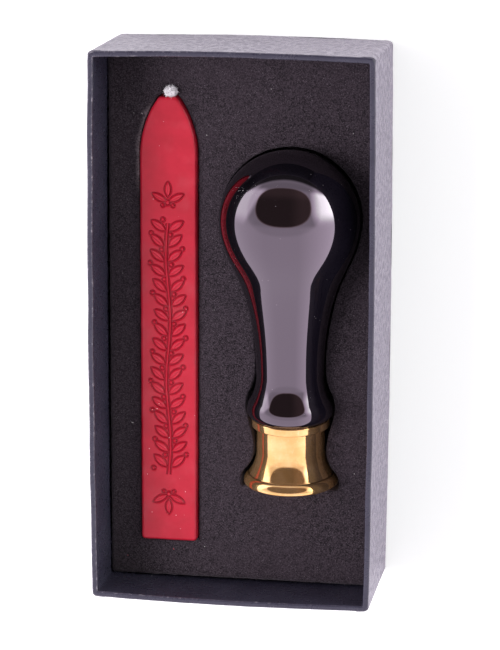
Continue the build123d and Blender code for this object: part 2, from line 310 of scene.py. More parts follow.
class Surface(Nodes):
    """A material, whose patterns have sizes in millimetres."""

    def __init__(self, name, **values):
        self.material = bpy.data.materials.new(name)
        self.material.use_nodes = True
        super().__init__(self.material.node_tree)
        self.set(**values)

    def set(self, **values):
        shader = self.tree.nodes["Principled BSDF"]
        for key, value in values.items():
            self.put(shader.inputs[key.replace("_", " ")], value)

    def finished(self, **values):
        self.set(**values)
        return self.material

    def place(self, stretch=(1, 1, 1)):
        """Object coordinates in millimetres."""
        coords = self.node("TexCoord").outputs["Object"]
        factors = tuple(s / MM for s in stretch)
        return self.node("VectorMath", {0: coords, 1: factors}, operation="MULTIPLY").outputs[0]

    def noise(self, size, detail=3, roughness=0.5, stretch=(1, 1, 1)):
        """Noise with features of about this many millimetres, shorter where the stretch is more."""
        inputs = {"Vector": self.place(stretch), "Scale": 1 / size}
        return self.node("TexNoise", {**inputs, "Detail": detail, "Roughness": roughness}).outputs[0]

    def cells(self, size):
        """Distance to the nearest of scattered points about this many millimetres apart."""
        return self.node("TexVoronoi", {"Vector": self.place(), "Scale": 1 / size}).outputs["Distance"]

    def scattered(self, size, radii, patch, levels, detail=2):
        """Spots that fade from the second radius to the first, only in patches of a noise."""
        spots = self.span(self.cells(size), *radii)
        return self.times(spots, self.span(self.noise(patch, detail), *levels))

    def between(self, value, a, b, low=0.3, high=0.7):
        """A colour between two, for a noise value from low to high."""
        return self.mix(self.span(value, low, high), a, b)

    def laid(self, base, color, where, amount=1.0):
        """The base with this much of another colour over it, where the factor says."""
        return self.mix(self.times(where, amount), base, color)

    def attribute(self, name):
        return self.node("Attribute", attribute_name=name).outputs["Fac"]

    def bump(self, height, distance, strength=1.0, normal=None):
        """A bump whose height of 1 stands for this many millimetres."""
        inputs = {"Height": height, "Distance": distance * MM, "Strength": strength}
        if normal:
            inputs["Normal"] = normal
        return self.node("Bump", inputs).outputs[0]


# ---- materials
def wrap_paper():
    s = Surface("wrap_paper", IOR=1.5)
    grain, fibres = s.noise(0.35, 4, 0.6), s.noise(0.8, 4, 0.6, (0.18, 1, 1))
    base = s.between(s.noise(9, 3, 0.55), (0.030, 0.028, 0.047), (0.040, 0.038, 0.060))
    # painted highlight: the edge attribute lightens the rim's rounding, paler still in patches, and also
    # lightens the outer corners
    edge = s.attribute("edge")
    base = s.laid(base, (0.080, 0.072, 0.098), edge, 0.30)
    base = s.laid(base, (0.30, 0.28, 0.31), s.times(edge, s.span(s.noise(1.6, 5, 0.7), 0.5, 0.72)))
    base = s.laid(base, (0.42, 0.40, 0.42), s.scattered(2.6, (0.10, 0.04), 6, (0.62, 0.68)))
    mottle = s.span(s.noise(1.7, 4, 0.65), 0.35, 0.65, -0.04, 0.10)
    roughness = s.plus(s.span(grain, 0.3, 0.7, 0.25, 0.33), mottle)
    height = s.plus(s.times(grain, 0.6), s.times(fibres, 0.4))
    return s.finished(Base_Color=base, Roughness=roughness, Normal=s.bump(height, 0.024))


def board():
    s = Surface("greyboard", Roughness=0.85)
    fibre = s.noise(0.6, 5, 0.65, (1, 0.3, 1))
    base = s.between(fibre, (0.30, 0.275, 0.24), (0.42, 0.39, 0.35))
    base = s.laid(base, (0.18, 0.16, 0.14), s.span(s.cells(1.1), 0.16, 0.08))
    return s.finished(Base_Color=base, Normal=s.bump(fibre, 0.06))


def fibrous(name, pattern, dark, pale, relief, **values):
    """A matt material whose colour and bump follow one noise."""
    s = Surface(name, **values)
    fibre = s.noise(*pattern)
    return s.finished(Base_Color=s.between(fibre, dark, pale), Normal=s.bump(fibre, relief))


def lining_paper():
    s = Surface("lining_paper", Roughness=0.75)
    base = s.between(s.noise(14, 3), (0.020, 0.020, 0.027), (0.032, 0.031, 0.040))
    return s.finished(Base_Color=base, Normal=s.bump(s.noise(0.4, 5, 0.65), 0.03))


def foam(name):
    s = Surface(name, Roughness=0.95, IOR=1.35, Sheen_Weight=0.25, Sheen_Roughness=0.5)
    s.set(Sheen_Tint=(0.75, 0.70, 0.76))
    pores, cloud = s.cells(0.26), s.noise(1.5, 4, 0.6)
    dark, pale = (0.004, 0.003, 0.004), (0.068, 0.053, 0.064)
    base = s.between(s.noise(0.36, 3, 0.8), dark, pale, 0.39, 0.61)
    # painted shade: the foam darker in its pores, the pits of the bump
    base = s.laid(base, (0.010, 0.008, 0.010), s.span(pores, 0.5, 0.2), 0.35)
    base = s.laid(base, (0.008, 0.007, 0.008), s.span(s.cells(0.75), 0.20, 0.06), 0.55)
    base = s.laid(base, (0.062, 0.047, 0.058), s.span(cloud, 0.45, 0.68), 0.3)
    base = s.laid(base, (0.046, 0.034, 0.043), s.span(s.noise(18, 2), 0.35, 0.65), 0.25)
    glints = s.scattered(0.75, (0.16, 0.06), 2.3, (0.50, 0.62), 3)
    base = s.laid(base, (0.24, 0.21, 0.235), glints, 0.55)
    # painted glints: finer pale specks in patches, standing in for the foam's sparkle
    fine_glints = s.scattered(0.48, (0.26, 0.12), 1.0, (0.46, 0.60), 3)
    base = s.laid(base, (0.17, 0.145, 0.165), fine_glints, 0.85)
    # painted highlight: the foam's cut edge beside the stick's point made paler, in patches, where it
    # catches the light
    cut_edge_highlight = s.times(s.attribute("cut_edge_highlight"), s.span(s.noise(0.5, 3), 0.35, 0.6, 0.3, 1.0))
    base = s.laid(base, (0.30, 0.26, 0.27), cut_edge_highlight)
    height = s.plus(s.times(pores, 0.7), s.times(cloud, 0.6))
    return s.finished(Base_Color=base, Normal=s.bump(height, 0.16, 0.9))


def sealing_wax():
    s = Surface("sealing_wax", IOR=1.45, Subsurface_Weight=0.12, Subsurface_Scale=0.0012)
    s.set(Subsurface_Radius=(1.0, 0.25, 0.2))
    cloud = s.noise(7, 4, 0.55)
    base = s.between(cloud, (0.49, 0.008, 0.026), (0.57, 0.016, 0.040))
    # painted shade: the relief's grooves and leaf veins darker; painted highlight: the tops of its raised
    # parts lighter
    base = s.laid(base, (0.24, 0.0, 0.011), s.attribute("groove"), 0.82)
    base = s.laid(base, (0.68, 0.030, 0.058), s.attribute("raised"), 0.5)
    base = s.laid(base, (0.80, 0.42, 0.44), s.span(s.noise(6.0, 3, 0.5), 0.45, 0.8), 0.05)
    base = s.laid(base, (0.92, 0.72, 0.70), s.scattered(1.6, (0.10, 0.05), 5, (0.57, 0.63)))
    height = s.plus(s.times(s.noise(2.2, 3), 0.8), s.times(s.noise(0.5, 4, 0.6), 0.2))
    roughness = s.span(cloud, 0.3, 0.7, 0.28, 0.38)
    return s.finished(Base_Color=base, Roughness=roughness, Normal=s.bump(height, 0.05))


def lacquer():
    s = Surface("handle_lacquer", IOR=2.1, Specular_Tint=(1.0, 0.84, 1.0))
    dust = s.scattered(1.3, (0.09, 0.04), 6, (0.55, 0.63))
    base = s.laid((0.002, 0.0017, 0.002), (0.50, 0.47, 0.49), dust, 0.8)
    roughness = s.plus(s.span(s.noise(11, 3), 0.35, 0.7, 0.02, 0.055), s.times(dust, 0.5))
    swell = s.bump(s.noise(3.5, 2, 0.4), 0.02, 0.35)
    return s.finished(Base_Color=base, Roughness=roughness, Normal=swell)


def brass():
    s = Surface("brass", Metallic=0.91)
    station = s.times(s.attribute("station"), 9.0)
    rings = s.node("TexNoise", {"W": station, "Scale": 1.0, "Detail": 3}, noise_dimensions="1D")
    marks = s.noise(0.5, 4, 0.7, (1, 0.3, 1))
    dull, bright = (0.74, 0.44, 0.165), (0.86, 0.55, 0.245)
    base = s.between(s.noise(5, 4, 0.6), dull, bright, 0.35, 0.65)
    # painted shade: the groove attribute darkens the fine groove, the cove under the collar and the die's
    # engraving
    base = s.laid(base, (0.16, 0.09, 0.035), s.attribute("groove"), 0.8)
    tarnish = s.scattered(1.1, (0.12, 0.05), 3, (0.52, 0.62))
    base = s.laid(base, (0.30, 0.16, 0.07), tarnish, 0.6)
    base = s.laid(base, (0.95, 0.72, 0.45), s.span(marks, 0.55, 0.75), 0.35)
    roughness = s.plus(s.span(marks, 0.35, 0.7, 0.04, 0.14), s.times(tarnish, 0.2))
    relief = s.bump(marks, 0.004, 0.5, s.bump(rings.outputs[0], 0.006, 0.4))
    return s.finished(Base_Color=base, Roughness=roughness, Normal=relief)


def steel():
    s = Surface("stud_steel", Base_Color=(0.55, 0.55, 0.56), Metallic=1.0)
    lines = s.noise(0.2, 3, 0.6, (1, 0.1, 1))
    return s.finished(Roughness=s.span(lines, 0.3, 0.7, 0.28, 0.45), Normal=s.bump(lines, 0.01))


def lint(name, color):
    s = Surface(name, Roughness=0.9, Sheen_Weight=0.5)
    pale = tuple(min(1, 1.3 * c) for c in color)
    return s.finished(Base_Color=s.mix(s.noise(0.3, 3), color, pale))


WRAP, BOARD, LINING = wrap_paper(), board(), lining_paper()
TAPE = fibrous(
    "kraft_tape", (0.5, 5, 0.7, (1, 1, 0.2)), (0.45, 0.33, 0.20), (0.60, 0.47, 0.31), 0.03,
    Roughness=0.7,
)
FOAM, FOAM_LOWER, WAX = foam("foam"), foam("foam_lower"), sealing_wax()
COTTON = fibrous(
    "wick_cotton", (0.12, 4, 0.6), (0.96, 0.94, 0.94), (1.0, 1.0, 1.0), 0.015,
    Roughness=0.9, Sheen_Weight=0.4,
)
LACQUER, BRASS, STEEL = lacquer(), brass(), steel()


# ---- CAD nodes that keep their shape
def dress(material, *nodes):
    """Give these nodes one material."""
    for node in nodes:
        obj = next(o for o in bpy.context.scene.objects if o.get("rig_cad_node") == node)
        obj.data.materials.clear()
        obj.data.materials.append(material)


dress(BOARD, "tray_board")
dress(TAPE, *(f"corner_stay_{end}_end_{side}" for end in ("wick", "die") for side in ("left", "right")))
dress(WRAP, "base_wrap")
dress(LINING, "floor_lining")
dress(STEEL, "seal_stud")


# ---- tray paper
def side_steps(end, count):
    """Steps from 0 to 1, closer together over a share at each end."""
    close_count = 14
    close = np.linspace(0, end, close_count)
    return np.concatenate([close[:-1], np.linspace(end, 1 - end, count), 1 - close[-2::-1]])


def tray_loop(inset, corner):
    """The tray's outline, drawn in by inset, side by side from the middle of +X."""
    x, y = HALF_WIDTH - inset, HALF_LENGTH - inset
    long_side, end_side = (y, x, LONG_BOW, side_steps(0.05, 90)), (x, y, END_BOW, side_steps(0.09, 50))
    turns, loop = ((1, 0), (0, 1), (-1, 0), (0, -1)), []
    for quarter in range(4):
        half, out, bow, steps = end_side if quarter % 2 else long_side
        t = -half + corner + steps * 2 * (half - corner)
        run = np.column_stack([out + bow * (1 - (t / half) ** 2), t])
        bend = arc((out - corner, half - corner), corner, 0, 90, 12)[1:-1]
        c, s = turns[quarter]
        loop.append(np.vstack([run, bend]) @ [[c, s], [-s, c]])
    return np.vstack(loop)


def wrap_section():
    """The paper's section as depth into the wall and height: its face up and over, and its back."""
    radius, bend = 0.5, np.radians(np.linspace(0, 90, 9))
    top = HEIGHT - radius
    section = [(0, z) for z in np.linspace(PAPER, top - 0.3, 20)]
    section += [(radius - radius * math.cos(a), top + radius * math.sin(a)) for a in bend]
    section += [(WALL - radius + radius * math.sin(a), top + radius * math.cos(a)) for a in bend]
    section += [(WALL, z) for z in np.linspace(HEIGHT - radius - 0.4, HEIGHT - TURN_IN, 14)]
    back = [(WALL - PAPER, z) for z in np.linspace(HEIGHT - TURN_IN, HEIGHT - 0.5, 8)]
    back += [(0.35, HEIGHT - PAPER), (PAPER, HEIGHT - 0.4)]
    back += [(PAPER, z) for z in np.linspace(HEIGHT - 1, PAPER, 8)]
    return section, back


def lap_edge(z):
    """How far round a corner the long wall's paper reaches on to the end wall: 2 to 3 mm."""
    return 2.4 + 0.5 * np.sin(z * 0.31) + 0.4 * np.sin(z * 0.13 + 1.4) + 1.8 * max(0, (z - 30) / 7)


def make_wrap():
    """Paper up the outside, over the rim and down inside, with laps at the corners and a soft rim."""
    lap_height, lap_slope, end_wall = 0.11, 0.25, HALF_LENGTH - 0.9
    section, back = wrap_section()
    rows, edge = [], []
    for depth, z in section + back:
        shown = (depth, z) in section
        loop = tray_loop(depth, OUTER_CORNER + (INNER_CORNER - OUTER_CORNER) * depth / WALL)
        near_corner = np.minimum(abs(abs(loop) - (HALF_WIDTH, HALF_LENGTH)), 9).sum(1)
        shift = np.zeros(len(loop))
        height = np.full(len(loop), float(z))
        if shown:
            at = at_height(loop, z)
            shift += 0.05 * wave(at, 24, 3) + 0.02 * wave(at, 5, 4)
            if depth == 0:
                past_edge = lap_edge(z) - (HALF_WIDTH - abs(loop[:, 0]))
                shift += lap_height * (abs(loop[:, 1]) > end_wall) * share(past_edge / lap_slope)
            rim = max(0.0, 1 - abs(z - (HEIGHT - 0.25)) / 0.5)
            height += 0.04 * wave(at, 11, 5) * rim + 0.05 * rim * (near_corner < 3)
            shift -= 0.15 * rim * share(1 - near_corner / 2.5)
        rows.append(np.column_stack([loop + outward(loop) * shift[:, None], height]))
        # edge: a painted highlight over the rim's rounding, strongest at the left (-X) and none at the
        # right, and lighter paper up the outer corners
        on_rim = 1.0 if shown and 0 < depth < WALL and z < HEIGHT - 0.02 else 0.0
        upright = 0.7 * share(1 - near_corner / 1.2) * (depth == 0)
        side = np.clip(0.58 - 0.62 * loop[:, 0] / HALF_WIDTH, 0.0, 1.2)
        edge.append(np.maximum(on_rim * side, upright))
    faces = [f[::-1] for f in grid_faces(len(rows), len(rows[0]), close_rows=True, close_columns=True)]
    edge = {"edge": np.concatenate(edge)}
    build("wrap_shell", np.vstack(rows), faces, "tray", ["wall_wrap"], "wrap_paper", WRAP, edge)


# ---- foam
def seal_pocket_loop():
    """The seal's pocket: its outline from above, with a margin."""

    def at(point, margin):
        return np.array([point[0] + margin, SEAL_Y + point[1] * math.cos(TILT)])

    head, handle = 0.5, 0.35
    rim, bead = at((DIE_RADIUS, 2 * DIE_CHAMFER), head), at(CUT_BEAD, head)
    waist, collar = at(WAIST, head), at(COLLAR, head)
    lip, lip_end, neck, bulb = (at(p, handle) for p in (CUT_LIP, CUT_LIP_END, CUT_NECK, BULB))
    right = np.vstack(
        [
            [[rim[0], SEAL_Y - DIE_RADIUS * math.sin(TILT) - 0.4]],
            tangent_arc(rim, bead, 1, 12),
            tangent_arc(waist, bead, -1, 24)[::-1][1:],
            clamped_spline([waist, collar, lip], 16)[1:],
            tangent_arc(lip, lip_end, 1, 10)[1:],
            tangent_arc(neck, lip_end, -1, 16)[::-1][1:],
            clamped_spline([neck, *(at(p, handle) for p in SWELLS), bulb], 24)[1:],
        ]
    )
    end = arc((0, bulb[1]), bulb[0], 0, 180, 90)
    return np.vstack([right, end[1:-1], right[::-1] * (-1, 1)]) + (SEAL_X, 0)


def stick_loop(growth, corner, notch=False):
    """The wax stick's outline, grown all round, with a notch for the wick."""
    x, back, nose = WAX_HALF + growth, WAX_BACK - growth, WAX_NOSE + growth
    narrowing, tip = WAX_HALF - WAX_NOSE_HALF, WAX_NOSE - WAX_TIP_START
    radius = (narrowing**2 + tip**2) / (2 * narrowing)
    nose_half = WAX_HALF - radius + math.sqrt((radius + growth) ** 2 - (tip + growth) ** 2)
    right = [
        arc((x - corner, back + corner), corner, -90, 0, 10),
        tangent_arc((x, WAX_TIP_START), (nose_half, nose), 1, 40),
    ]
    if notch:
        half, end, r = 2.2, WAX_NOSE + 3.6, 1.6
        right += [[[half, nose]], arc((half - r, end - r), r, 0, 90, 10)]
    right = np.vstack(right)
    left = right[::-1] * (-1, 1)
    return np.vstack([right, left]) + (WAX_X, 0)


def foam_outer():
    """The foam sheets' outline."""
    x, y, r = FOAM_HALF_WIDTH, FOAM_HALF_LENGTH, FOAM_CORNER
    corners = ((1, -1, -90), (1, 1, 0), (-1, 1, 90), (-1, -1, 180))
    return np.vstack([arc((sx * (x - r), sy * (y - r)), r, a, a + 90, 8) for sx, sy, a in corners])


def foam_slab(name, node, holes, low, high, material, spacing, seed):
    """A die-cut foam sheet: rounded cut edges, slightly uneven walls and a soft top.

    The last hole is the wax stick's, whose walls lean in with the stick's draft.
    """
    step, edge_width, edge_drop = 0.45, 0.45, 0.35
    loops = [softened(resampled(foam_outer(), step), 0.4, step)]
    loops += [softened(resampled(h, step), 0.35, step)[::-1] for h in holes]
    rings = edge_rings(edge_width, edge_drop, high, 6)
    rings += [(0.0, z) for z in np.linspace(high - 0.9, low + 0.2, 9)] + [(0.15, low)]
    verts, faces, tops, bottoms, start = [], [], [], [], 0
    for index, loop in enumerate(loops):
        normal = outward(loop)
        for inset, z in rings:
            if index == 0 and z > high - 0.4:
                # the sheet's own edge is softer than its die-cut pockets
                inset, z = 2.0 * inset, high - 2.0 * (high - z)
            at = at_height(loop, z)
            uneven = 0.05 * wave(at, 3.1, seed + index) + 0.03 * wave(at, 0.9, seed + 20 + index)
            uneven = np.minimum(uneven, 0.06)
            lean = (z - WAX_BOTTOM) * WAX_DRAFT if holes and index == len(loops) - 1 else 0.0
            ring = loop - normal * (inset - uneven - max(0.0, lean))[:, None]
            verts.append(at_height(ring, z + 0.05 * wave(at, 6, seed + 40) * (z > high - 0.4)))
        faces += [f[::-1] for f in grid_faces(len(rings), len(loop), close_columns=True, start=start)]
        tops.append(start + np.arange(len(loop)))
        bottoms.append(start + (len(rings) - 1) * len(loop) + np.arange(len(loop)))
        start += len(rings) * len(loop)
    verts = np.vstack(verts)
    for ids, z, top in ((tops, high, True), (bottoms, low, False)):
        border = [verts[i][:, :2] for i in ids]
        grid, margin = (spacing, 0.45 * spacing) if top else (6.0, 2.0)
        inner, triangles = filled(border[0], border[1:], grid, margin)
        at, level = at_height(inner, z), z
        if top:
            level = z + 0.05 * wave(at, 6, seed + 40) + 0.025 * wave(at, 1.7, seed + 41)
        ids = np.concatenate([*ids, np.arange(len(verts), len(verts) + len(inner))])
        verts = np.vstack([verts, at_height(inner, level)])
        triangles = ids[triangles]
        faces += (triangles if top else triangles[:, ::-1]).tolist()
    # the painted highlight on the cut edge beside the stick's point; none on the plain sheet
    cut_edge_highlight = {"cut_edge_highlight": cut_edge_highlight_at(verts, loops[-1], high) if holes else np.zeros(len(verts))}
    piece = build(name, verts, faces, "insert", [node], "foam", material, cut_edge_highlight)


def cut_edge_highlight_at(verts, loop, high):
    """A painted highlight on the foam: its top edge beside the left of the stick's point, where the cut
    edge catches the light.
    """
    near = distance_to(verts[:, :2], loop + outward(loop) * 0.5)
    along = share((verts[:, 1] - 33) / 6) * share((58.5 - verts[:, 1]) / 4)
    beside = (verts[:, 0] < WAX_X - 3) * (verts[:, 2] > high - 0.5)
    return np.exp(-((near / 0.5) ** 2)) * along * beside


# ---- wax
def leaf(px, py, x, y, angle, half_length, half_width):
    """Signed distance to a leaf shape, and the distance along and across it."""
    c, s = math.cos(angle), math.sin(angle)
    u, v = (px - x) * c + (py - y) * s, -(px - x) * s + (py - y) * c
    r = (half_length**2 + half_width**2) / (2 * half_width)
    d = r - half_width
    a, b = abs(v), abs(u)
    tip = (b - half_length) * d > a * half_length
    distance = np.where(tip, np.hypot(a, b - half_length), np.hypot(a + d, b) - r)
    return distance, u, v


def berry(px, py, x, y, radius):
    """Signed distance to a round berry."""
    return np.hypot(px - x, py - y) - radius


def ornament(px, py):
    """Relief of a laurel garland between two small end flourishes: height, groove and raised parts, the
    last two as masks for painted shade and painted highlight.
    """
    far, middle, half_length, wave_length = 9.0, -8.1, 34.2, 34.0
    leaf_size, end_leaf, side_leaf = (2.25, 0.86), (1.9, 0.75), (2.1, 0.7)
    leaf_height, groove_depth, vein_depth = 0.24, 0.28, 0.12
    nearest = np.full(px.shape, far)
    veins = np.zeros(px.shape)

    def join(distance):
        np.minimum(nearest, distance, out=nearest)

    def add_leaf(x, y, angle, half_length, half_width):
        distance, u, v = leaf(px, py, x, y, angle, half_length, half_width)
        join(distance)
        vein = np.exp(-((v / 0.13) ** 2)) * (distance < -0.12) * (abs(u) < 0.78 * half_length)
        np.maximum(veins, vein, out=veins)

    def stem(y):
        return 0.55 * np.sin((y - middle) * 2 * math.pi / wave_length)

    join(np.where(abs(py - middle) < half_length, abs(px - stem(py)) - 0.28, far))
    for k in range(-8, 9):
        y = middle + 4.0 * k
        x = stem(y)
        lean = math.radians(38 + 4 * math.sin(2.1 * k))
        for side, angle in ((1, lean), (-1, math.pi - lean)):
            add_leaf(x + side * 2.35, y + 1.5, angle, *leaf_size)
        side = 1 if k % 2 else -1
        join(berry(px, py, x + side * 1.15, y + 3.15, 0.42))
        join(berry(px, py, x + side * 4.35, y - 0.55, 0.40))
    for end, y in ((1, 33.2), (-1, -49.4)):
        lean = math.radians(28 * end)
        add_leaf(0, y + 1.9 * end, math.pi / 2, *end_leaf)
        join(berry(px, py, 0, y - 1.6 * end, 0.55))
        for side, angle in ((1, lean), (-1, math.pi - lean)):
            add_leaf(side * 2.3, y - 0.3 * end, angle, *side_leaf)
            join(berry(px, py, side * 1.35, y - 2.3 * end, 0.34))
    raised = share(-nearest / 0.28)
    raised = raised * raised * (3 - 2 * raised)
    groove = np.exp(-(((nearest - 0.20) / 0.21) ** 2))
    height = leaf_height * raised - groove_depth * groove - vein_depth * veins
    return height, share(groove + 0.8 * veins), raised


def fade_in(value, low, high, width):
    """From 0 outside low and high to 1 inside them, over this width."""
    return share((value - low) / width) * share((high - value) / width)


def grid_border(rows, columns):
    """The indices round a grid's border, from its first point along its first row."""
    ids = np.arange(rows * columns).reshape(rows, columns)
    return np.concatenate([ids[0], ids[1:, -1], ids[-1, -2::-1], ids[-2:0:-1, 0]])


def make_wax():
    """The moulded bar: drafted sides, rounded edges, relief on its face."""
    step, edge, back_edge = 0.3, 0.75, 0.3
    face = softened(resampled(stick_loop(0, 0.8), step), 0.35, step)
    normal = outward(face)
    rings = edge_rings(edge, edge, WAX_FACE, 9)
    for z in np.linspace(WAX_FACE - edge - 0.5, WAX_BOTTOM + 0.35, 16):
        rings.append((-(WAX_FACE - z) * WAX_DRAFT, z))
    for a in np.radians(np.linspace(30, 90, 3)):
        inset = back_edge * (1 - math.cos(a)) - WAX_LEAN
        rings.append((inset, WAX_BOTTOM + back_edge * (1 - math.sin(a))))
    verts = []
    for inset, z in rings:
        at = at_height(face, z)
        uneven = np.minimum(0.02 * wave(at, 9, 61) + 0.012 * wave(at, 2.2, 62), 0.02)
        verts.append(at_height(face - normal * (inset - uneven)[:, None], z))
    faces = [f[::-1] for f in grid_faces(len(rings), len(face), close_columns=True)]
    verts = np.vstack(verts)
    blank = np.zeros(len(verts))

    # the ornamented patch, and the plain face round it
    half, low, high = 5.6, -54.6, 38.4
    xs, ys = np.linspace(-half, half, 141), np.linspace(low, high, 1117)
    px, py = np.meshgrid(xs, ys)
    relief = np.array(ornament(px, py)) * fade_in(px, -half, half, 0.3) * fade_in(py, low, high, 0.4)
    height, groove, raised = relief.reshape(3, -1)
    start = len(verts)
    faces += grid_faces(len(ys), len(xs), start=start)
    verts = np.vstack([verts, np.column_stack([px.ravel() + WAX_X, py.ravel(), WAX_FACE + height])])
    ring_ids = np.arange(len(face))
    hole_ids = start + grid_border(len(ys), len(xs))
    inner, triangles = filled(verts[ring_ids][:, :2], [verts[hole_ids][:, :2]], 0.8, 0.3)
    ids = np.concatenate([ring_ids, hole_ids, np.arange(len(verts), len(verts) + len(inner))])
    verts = np.vstack([verts, at_height(inner, WAX_FACE)])
    faces += ids[triangles].tolist()
    faces.append(list(range(start - len(face), start))[::-1])
    plain = np.zeros(len(inner))
    # groove carries painted shade into the wax colour, raised a painted highlight
    attributes = {"groove": groove, "raised": raised}
    attributes = {key: np.concatenate([blank, value, plain]) for key, value in attributes.items()}
    build("wax_bar", verts, faces, "wax", ["wax_stick"], "wax", WAX, attributes)


# ---- wick
def tube(path, radius, sides):
    """Points and faces of a round tube along a path, its ends closed."""
    path = np.asarray(path, dtype=float)
    along = np.gradient(path, axis=0)
    along /= np.linalg.norm(along, axis=1, keepdims=True)
    slanted, level = np.array([0.31, 0.17, 0.93]), np.array([1.0, 0, 0])
    guide = slanted if abs(along[0] @ slanted) < 0.9 else level
    a = full_turn(sides)
    verts = []
    for point, direction, r in zip(path, along, radius):
        across = np.cross(direction, guide)
        across /= np.linalg.norm(across)
        other = np.cross(direction, across)
        guide = -other if abs(direction @ guide) > 0.95 else guide
        verts.append(point + r * (np.cos(a)[:, None] * across + np.sin(a)[:, None] * other))
    faces = grid_faces(len(path), sides, close_columns=True)
    faces.append(list(range(sides))[::-1])
    faces.append(list(range((len(path) - 1) * sides, len(path) * sides)))
    return np.vstack(verts), faces


def joined(tubes):
    """The points and faces of several tubes as one mesh."""
    verts, faces, start = [], [], 0
    for v, f in tubes:
        verts.append(v)
        faces += [[i + start for i in face] for face in f]
        start += len(v)
    return np.vstack(verts), faces


def wick_line(t):
    """A point on the wick's middle line, t millimetres beyond the stick's nose, and its direction."""
    start = WAX_NOSE + 4.5 * WAX_DRAFT
    bend, angle = 1.3, math.radians(85)
    a = min(max(t, 0) / bend, angle)
    before, after = min(t, 0), max(t - bend * angle, 0)
    y = start + before + bend * math.sin(a) + after * math.cos(a)
    z = WICK_Z + bend * (1 - math.cos(a)) + after * math.sin(a)
    return np.array([WAX_X, y, z]), np.array([0, math.cos(a), math.sin(a)])


def make_wick():
    """Three twisted strands, and at their end a lumpy tuft with loose fibres."""
    lay, samples, side = 2.6, 46, np.array([1.0, 0, 0])
    strands = []
    for k in range(3):
        points = []
        for t in np.linspace(-3.0, 4.9, samples):
            middle, direction = wick_line(t)
            up = np.cross(side, direction)
            a = 2 * math.pi * (t / lay + k / 3)
            spread = 0.42 + 0.25 * max(0, t - 3.2)
            points.append(middle + spread * (math.cos(a) * side + math.sin(a) * up))
        strands.append(tube(points, np.linspace(0.46, 0.30, samples), 12))
    build("wick_core", *joined(strands), "wax", ["wick"], "wick_cotton", COTTON)

    middle, half = np.array([WAX_X + 0.7, 60.85, 21.4]), np.array([1.65, 1.3, 1.4])
    rows, columns, pole = 26, 44, 0.04
    rise = np.linspace(pole, math.pi - pole, rows)
    rise, turn = np.meshgrid(rise, full_turn(columns), indexing="ij")
    ball = np.stack([np.sin(rise) * np.cos(turn), np.sin(rise) * np.sin(turn), np.cos(rise)], -1)
    ball = ball.reshape(-1, 3)
    lumps = 1 + 0.13 * wave(ball, 0.9, 71) + 0.07 * wave(ball, 0.35, 72)
    faces = [f[::-1] for f in grid_faces(rows, columns, close_columns=True)]
    faces += [list(range(columns)), list(range((rows - 1) * columns, rows * columns))[::-1]]
    tuft = [(middle + ball * half * lumps[:, None], faces)]
    source, fibre_count, points = np.random.default_rng(11), 700, 5
    s = np.linspace(0, 1, points)[:, None]
    for _ in range(fibre_count):
        out = source.normal(size=3)
        out /= np.linalg.norm(out)
        root = middle + out * half * 0.92
        curl = source.normal(size=3) * 0.6
        path = root + (out * s + curl * s * s) * source.uniform(0.15, 0.42)
        tuft.append(tube(path, np.linspace(0.055, 0.025, points), 4))
    build("wick_fray", *joined(tuft), "wax", slot="wick_cotton", material=COTTON)


# ---- seal
def seal_point(radius, station, angle):
    """A point of the seal in the tray's frame; angle 0 points to +X, 90 degrees up."""
    across, up = radius * np.cos(angle), radius * np.sin(angle)
    y = SEAL_Y + station * math.cos(TILT) - up * math.sin(TILT)
    z = SEAL_Z + station * math.sin(TILT) + up * math.cos(TILT)
    return np.stack([SEAL_X + across, y, z], -1)


def dense(points, spacing):
    """An open polyline cut finely, its own points kept."""
    out = [points[0]]
    for a, b in zip(points[:-1], points[1:]):
        count = max(1, math.ceil(math.dist(a, b) / spacing))
        out += [a + (b - a) * k / count for k in range(1, count + 1)]
    return np.array(out)


def rounded(points, radii, steps=6):
    """A polyline with its corners turned to arcs."""
    points = [np.array(p, dtype=float) for p in points]
    out = [points[0]]
    for before, corner, after, radius in zip(points, points[1:], points[2:], radii):
        a, b = before - corner, after - corner
        la, lb = np.linalg.norm(a), np.linalg.norm(b)
        a, b = a / la, b / lb
        half = math.acos(max(-1, min(1, a @ b))) / 2
        back = min(radius / math.tan(half), 0.48 * la, 0.48 * lb)
        size = back * math.tan(half)
        middle = corner + (a + b) / np.linalg.norm(a + b) * size / math.sin(half)
        p, q = corner + a * back - middle, corner + b * back - middle
        for k in range(steps + 1):
            w = k / steps
            v = p * (1 - w) + q * w
            out.append(middle + v / np.linalg.norm(v) * size)
    out.append(points[-1])
    return np.array(out)


def lathe(name, profile, sides, node, slot, material, extra=None):
    """A turned piece from a profile of radii and stations; it begins and ends on the axis."""
    radius, station = profile[1:-1].T
    verts = seal_point(radius[:, None], station[:, None], full_turn(sides)).reshape(-1, 3)
    faces = [f[::-1] for f in grid_faces(len(radius), sides, close_columns=True)]
    first, last, base = len(verts), len(verts) + 1, len(verts) - sides
    for k in range(sides):
        after = (k + 1) % sides
        faces += [[k, after, first], [last, base + after, base + k]]
    ends = profile[[0, -1], 1]
    verts = np.vstack([verts, *(seal_point(0.0, end, 0.0) for end in ends)])
    attributes = {"station": np.concatenate([np.repeat(station, sides), ends])}
    for key, values in (extra or {}).items():
        attributes[key] = np.concatenate([np.repeat(values, sides), [0, 0]])
    build(name, verts, faces, "seal", [node], slot, material, attributes)


